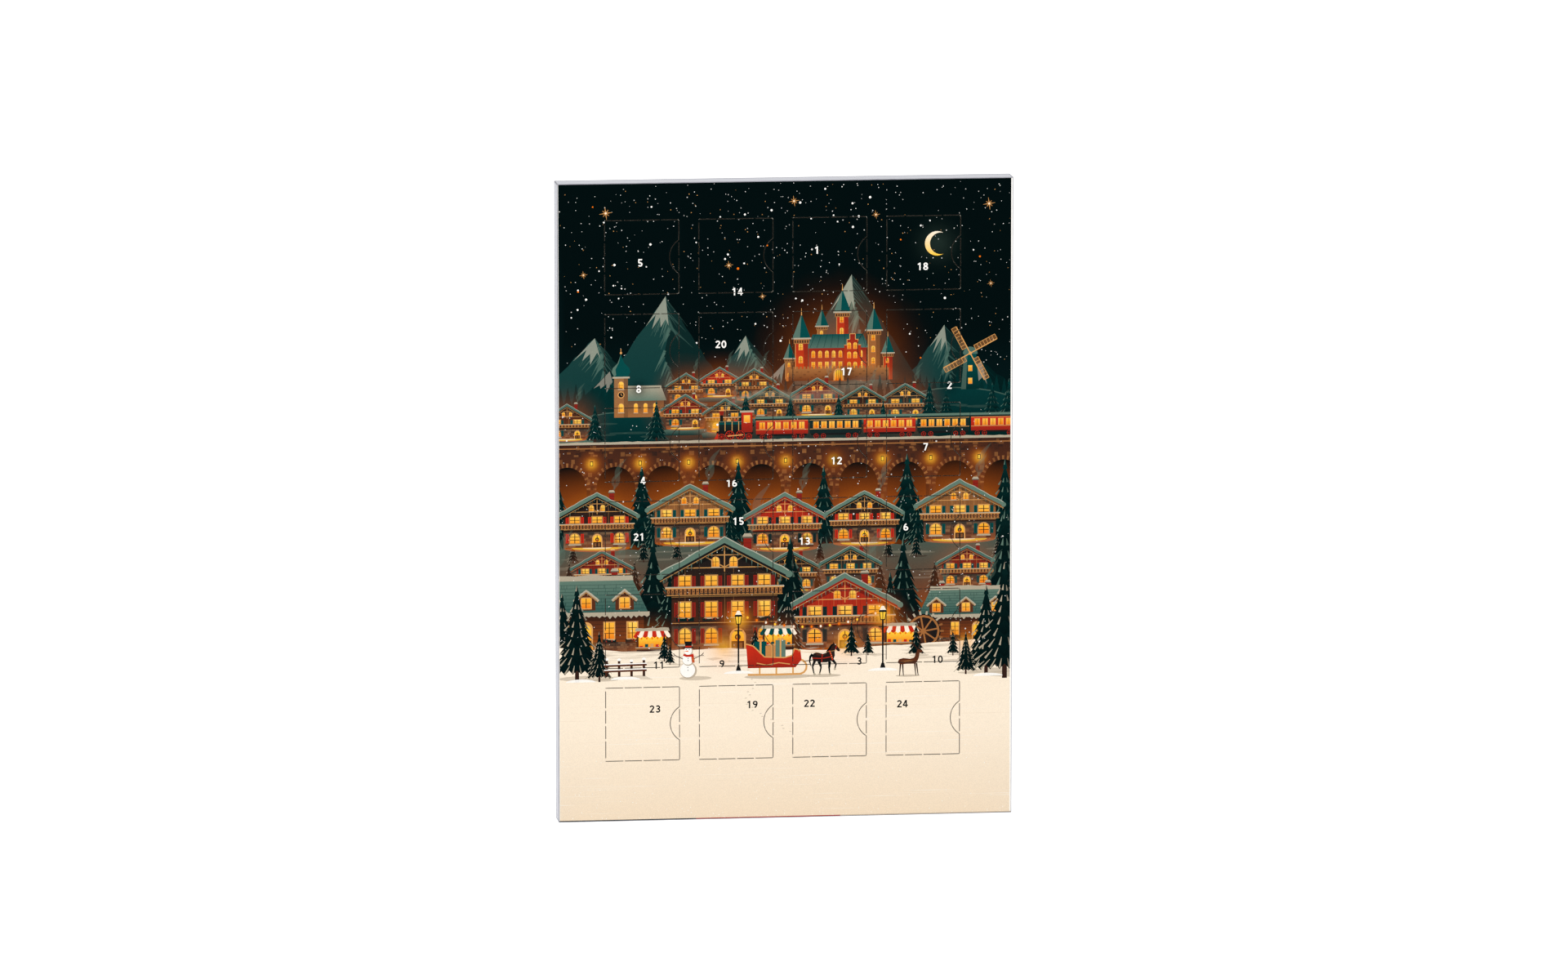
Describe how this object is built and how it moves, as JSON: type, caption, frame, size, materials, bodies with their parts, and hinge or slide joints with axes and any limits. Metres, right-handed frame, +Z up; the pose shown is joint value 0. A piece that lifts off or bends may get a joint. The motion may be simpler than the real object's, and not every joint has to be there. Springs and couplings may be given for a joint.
{
  "type": "chocolate advent calendar",
  "caption": "Flat folding-board carton with a printed front of numbered hinged doors over a moulded tray of chocolates.",
  "frame": {"origin": "middle of the bottom end that the carton stands on, halfway between front and back", "axes": "+Z up along the height, +X to the right seen from the front, +Y from the printed front to the back"},
  "size_m": [0.245, 0.015, 0.345],
  "materials": {
    "printed_board": "offset-printed, coated folding boxboard with a light gloss varnish; grey-white uncoated reverse",
    "plain_board": "white coated folding boxboard, unprinted",
    "tray_sheet": "thin thermoformed sheet, satin gloss",
    "chocolate": "moulded milk chocolate, satin with a soft bloom"
  },
  "bodies": {
    "carton": {"front_panel": "printed_board", "back_panel": "plain_board", "left_side_panel": "plain_board", "right_side_panel": "plain_board", "seam_glue_flap": "plain_board", "top_outer_flap": "plain_board", "top_inner_flap": "plain_board", "bottom_outer_flap": "plain_board", "bottom_inner_flap": "plain_board", "dust_flaps": "plain_board", "chocolate_tray": "tray_sheet", "chocolates": "chocolate"},
    "door_01": {"door_01": "printed_board"},
    "finger_tab_01": {"finger_tab_01": "printed_board"},
    "door_02": {"door_02": "printed_board"},
    "finger_tab_02": {"finger_tab_02": "printed_board"},
    "door_03": {"door_03": "printed_board"},
    "finger_tab_03": {"finger_tab_03": "printed_board"},
    "door_04": {"door_04": "printed_board"},
    "finger_tab_04": {"finger_tab_04": "printed_board"},
    "door_05": {"door_05": "printed_board"},
    "finger_tab_05": {"finger_tab_05": "printed_board"},
    "door_06": {"door_06": "printed_board"},
    "finger_tab_06": {"finger_tab_06": "printed_board"},
    "door_07": {"door_07": "printed_board"},
    "finger_tab_07": {"finger_tab_07": "printed_board"},
    "door_08": {"door_08": "printed_board"},
    "finger_tab_08": {"finger_tab_08": "printed_board"},
    "door_09": {"door_09": "printed_board"},
    "finger_tab_09": {"finger_tab_09": "printed_board"},
    "door_10": {"door_10": "printed_board"},
    "finger_tab_10": {"finger_tab_10": "printed_board"},
    "door_11": {"door_11": "printed_board"},
    "finger_tab_11": {"finger_tab_11": "printed_board"},
    "door_12": {"door_12": "printed_board"},
    "finger_tab_12": {"finger_tab_12": "printed_board"},
    "door_13": {"door_13": "printed_board"},
    "finger_tab_13": {"finger_tab_13": "printed_board"},
    "door_14": {"door_14": "printed_board"},
    "finger_tab_14": {"finger_tab_14": "printed_board"},
    "door_15": {"door_15": "printed_board"},
    "finger_tab_15": {"finger_tab_15": "printed_board"},
    "door_16": {"door_16": "printed_board"},
    "finger_tab_16": {"finger_tab_16": "printed_board"},
    "door_17": {"door_17": "printed_board"},
    "finger_tab_17": {"finger_tab_17": "printed_board"},
    "door_18": {"door_18": "printed_board"},
    "finger_tab_18": {"finger_tab_18": "printed_board"},
    "door_19": {"door_19": "printed_board"},
    "finger_tab_19": {"finger_tab_19": "printed_board"},
    "door_20": {"door_20": "printed_board"},
    "finger_tab_20": {"finger_tab_20": "printed_board"},
    "door_21": {"door_21": "printed_board"},
    "finger_tab_21": {"finger_tab_21": "printed_board"},
    "door_22": {"door_22": "printed_board"},
    "finger_tab_22": {"finger_tab_22": "printed_board"},
    "door_23": {"door_23": "printed_board"},
    "finger_tab_23": {"finger_tab_23": "printed_board"},
    "door_24": {"door_24": "printed_board"},
    "finger_tab_24": {"finger_tab_24": "printed_board"}
  },
  "joints": [
    {"name": "door_01_crease", "type": "hinge", "parent": "carton", "child": "door_01", "pos_m": [0.0037, -0.0075, 0.30515], "axis": [0, 0, -1], "range_deg": [0, 170]},
    {"name": "finger_tab_01_crease", "type": "hinge", "parent": "carton", "child": "finger_tab_01", "pos_m": [0.0438, -0.007, 0.30515], "axis": [0, 0, -1], "range_deg": [0, 45]},
    {"name": "door_02_crease", "type": "hinge", "parent": "carton", "child": "door_02", "pos_m": [0.0542, -0.0075, 0.25465], "axis": [0, 0, -1], "range_deg": [0, 170]},
    {"name": "finger_tab_02_crease", "type": "hinge", "parent": "carton", "child": "finger_tab_02", "pos_m": [0.0943, -0.007, 0.25465], "axis": [0, 0, -1], "range_deg": [0, 45]},
    {"name": "door_03_crease", "type": "hinge", "parent": "carton", "child": "door_03", "pos_m": [0.0037, -0.0075, 0.10315], "axis": [0, 0, -1], "range_deg": [0, 170]},
    {"name": "finger_tab_03_crease", "type": "hinge", "parent": "carton", "child": "finger_tab_03", "pos_m": [0.0438, -0.007, 0.10315], "axis": [0, 0, -1], "range_deg": [0, 45]},
    {"name": "door_04_crease", "type": "hinge", "parent": "carton", "child": "door_04", "pos_m": [-0.0973, -0.0075, 0.20415], "axis": [0, 0, -1], "range_deg": [0, 170]},
    {"name": "finger_tab_04_crease", "type": "hinge", "parent": "carton", "child": "finger_tab_04", "pos_m": [-0.0572, -0.007, 0.20415], "axis": [0, 0, -1], "range_deg": [0, 45]},
    {"name": "door_05_crease", "type": "hinge", "parent": "carton", "child": "door_05", "pos_m": [-0.0973, -0.0075, 0.30515], "axis": [0, 0, -1], "range_deg": [0, 170]},
    {"name": "finger_tab_05_crease", "type": "hinge", "parent": "carton", "child": "finger_tab_05", "pos_m": [-0.0572, -0.007, 0.30515], "axis": [0, 0, -1], "range_deg": [0, 45]},
    {"name": "door_06_crease", "type": "hinge", "parent": "carton", "child": "door_06", "pos_m": [0.0542, -0.0075, 0.15365], "axis": [0, 0, -1], "range_deg": [0, 170]},
    {"name": "finger_tab_06_crease", "type": "hinge", "parent": "carton", "child": "finger_tab_06", "pos_m": [0.0943, -0.007, 0.15365], "axis": [0, 0, -1], "range_deg": [0, 45]},
    {"name": "door_07_crease", "type": "hinge", "parent": "carton", "child": "door_07", "pos_m": [0.0542, -0.0075, 0.20415], "axis": [0, 0, -1], "range_deg": [0, 170]},
    {"name": "finger_tab_07_crease", "type": "hinge", "parent": "carton", "child": "finger_tab_07", "pos_m": [0.0943, -0.007, 0.20415], "axis": [0, 0, -1], "range_deg": [0, 45]},
    {"name": "door_08_crease", "type": "hinge", "parent": "carton", "child": "door_08", "pos_m": [-0.0973, -0.0075, 0.25465], "axis": [0, 0, -1], "range_deg": [0, 170]},
    {"name": "finger_tab_08_crease", "type": "hinge", "parent": "carton", "child": "finger_tab_08", "pos_m": [-0.0572, -0.007, 0.25465], "axis": [0, 0, -1], "range_deg": [0, 45]},
    {"name": "door_09_crease", "type": "hinge", "parent": "carton", "child": "door_09", "pos_m": [-0.0468, -0.0075, 0.10315], "axis": [0, 0, -1], "range_deg": [0, 170]},
    {"name": "finger_tab_09_crease", "type": "hinge", "parent": "carton", "child": "finger_tab_09", "pos_m": [-0.0067, -0.007, 0.10315], "axis": [0, 0, -1], "range_deg": [0, 45]},
    {"name": "door_10_crease", "type": "hinge", "parent": "carton", "child": "door_10", "pos_m": [0.0542, -0.0075, 0.10315], "axis": [0, 0, -1], "range_deg": [0, 170]},
    {"name": "finger_tab_10_crease", "type": "hinge", "parent": "carton", "child": "finger_tab_10", "pos_m": [0.0943, -0.007, 0.10315], "axis": [0, 0, -1], "range_deg": [0, 45]},
    {"name": "door_11_crease", "type": "hinge", "parent": "carton", "child": "door_11", "pos_m": [-0.0973, -0.0075, 0.10315], "axis": [0, 0, -1], "range_deg": [0, 170]},
    {"name": "finger_tab_11_crease", "type": "hinge", "parent": "carton", "child": "finger_tab_11", "pos_m": [-0.0572, -0.007, 0.10315], "axis": [0, 0, -1], "range_deg": [0, 45]},
    {"name": "door_12_crease", "type": "hinge", "parent": "carton", "child": "door_12", "pos_m": [0.0037, -0.0075, 0.20415], "axis": [0, 0, -1], "range_deg": [0, 170]},
    {"name": "finger_tab_12_crease", "type": "hinge", "parent": "carton", "child": "finger_tab_12", "pos_m": [0.0438, -0.007, 0.20415], "axis": [0, 0, -1], "range_deg": [0, 45]},
    {"name": "door_13_crease", "type": "hinge", "parent": "carton", "child": "door_13", "pos_m": [0.0037, -0.0075, 0.15365], "axis": [0, 0, -1], "range_deg": [0, 170]},
    {"name": "finger_tab_13_crease", "type": "hinge", "parent": "carton", "child": "finger_tab_13", "pos_m": [0.0438, -0.007, 0.15365], "axis": [0, 0, -1], "range_deg": [0, 45]},
    {"name": "door_14_crease", "type": "hinge", "parent": "carton", "child": "door_14", "pos_m": [-0.0468, -0.0075, 0.30515], "axis": [0, 0, -1], "range_deg": [0, 170]},
    {"name": "finger_tab_14_crease", "type": "hinge", "parent": "carton", "child": "finger_tab_14", "pos_m": [-0.0067, -0.007, 0.30515], "axis": [0, 0, -1], "range_deg": [0, 45]},
    {"name": "door_15_crease", "type": "hinge", "parent": "carton", "child": "door_15", "pos_m": [-0.0468, -0.0075, 0.15365], "axis": [0, 0, -1], "range_deg": [0, 170]},
    {"name": "finger_tab_15_crease", "type": "hinge", "parent": "carton", "child": "finger_tab_15", "pos_m": [-0.0067, -0.007, 0.15365], "axis": [0, 0, -1], "range_deg": [0, 45]},
    {"name": "door_16_crease", "type": "hinge", "parent": "carton", "child": "door_16", "pos_m": [-0.0468, -0.0075, 0.20415], "axis": [0, 0, -1], "range_deg": [0, 170]},
    {"name": "finger_tab_16_crease", "type": "hinge", "parent": "carton", "child": "finger_tab_16", "pos_m": [-0.0067, -0.007, 0.20415], "axis": [0, 0, -1], "range_deg": [0, 45]},
    {"name": "door_17_crease", "type": "hinge", "parent": "carton", "child": "door_17", "pos_m": [0.0037, -0.0075, 0.25465], "axis": [0, 0, -1], "range_deg": [0, 170]},
    {"name": "finger_tab_17_crease", "type": "hinge", "parent": "carton", "child": "finger_tab_17", "pos_m": [0.0438, -0.007, 0.25465], "axis": [0, 0, -1], "range_deg": [0, 45]},
    {"name": "door_18_crease", "type": "hinge", "parent": "carton", "child": "door_18", "pos_m": [0.0542, -0.0075, 0.30515], "axis": [0, 0, -1], "range_deg": [0, 170]},
    {"name": "finger_tab_18_crease", "type": "hinge", "parent": "carton", "child": "finger_tab_18", "pos_m": [0.0943, -0.007, 0.30515], "axis": [0, 0, -1], "range_deg": [0, 45]},
    {"name": "door_19_crease", "type": "hinge", "parent": "carton", "child": "door_19", "pos_m": [-0.0468, -0.0075, 0.05265], "axis": [0, 0, -1], "range_deg": [0, 170]},
    {"name": "finger_tab_19_crease", "type": "hinge", "parent": "carton", "child": "finger_tab_19", "pos_m": [-0.0067, -0.007, 0.05265], "axis": [0, 0, -1], "range_deg": [0, 45]},
    {"name": "door_20_crease", "type": "hinge", "parent": "carton", "child": "door_20", "pos_m": [-0.0468, -0.0075, 0.25465], "axis": [0, 0, -1], "range_deg": [0, 170]},
    {"name": "finger_tab_20_crease", "type": "hinge", "parent": "carton", "child": "finger_tab_20", "pos_m": [-0.0067, -0.007, 0.25465], "axis": [0, 0, -1], "range_deg": [0, 45]},
    {"name": "door_21_crease", "type": "hinge", "parent": "carton", "child": "door_21", "pos_m": [-0.0973, -0.0075, 0.15365], "axis": [0, 0, -1], "range_deg": [0, 170]},
    {"name": "finger_tab_21_crease", "type": "hinge", "parent": "carton", "child": "finger_tab_21", "pos_m": [-0.0572, -0.007, 0.15365], "axis": [0, 0, -1], "range_deg": [0, 45]},
    {"name": "door_22_crease", "type": "hinge", "parent": "carton", "child": "door_22", "pos_m": [0.0037, -0.0075, 0.05265], "axis": [0, 0, -1], "range_deg": [0, 170]},
    {"name": "finger_tab_22_crease", "type": "hinge", "parent": "carton", "child": "finger_tab_22", "pos_m": [0.0438, -0.007, 0.05265], "axis": [0, 0, -1], "range_deg": [0, 45]},
    {"name": "door_23_crease", "type": "hinge", "parent": "carton", "child": "door_23", "pos_m": [-0.0973, -0.0075, 0.05265], "axis": [0, 0, -1], "range_deg": [0, 170]},
    {"name": "finger_tab_23_crease", "type": "hinge", "parent": "carton", "child": "finger_tab_23", "pos_m": [-0.0572, -0.007, 0.05265], "axis": [0, 0, -1], "range_deg": [0, 45]},
    {"name": "door_24_crease", "type": "hinge", "parent": "carton", "child": "door_24", "pos_m": [0.0542, -0.0075, 0.05265], "axis": [0, 0, -1], "range_deg": [0, 170]},
    {"name": "finger_tab_24_crease", "type": "hinge", "parent": "carton", "child": "finger_tab_24", "pos_m": [0.0943, -0.007, 0.05265], "axis": [0, 0, -1], "range_deg": [0, 45]}
  ]
}
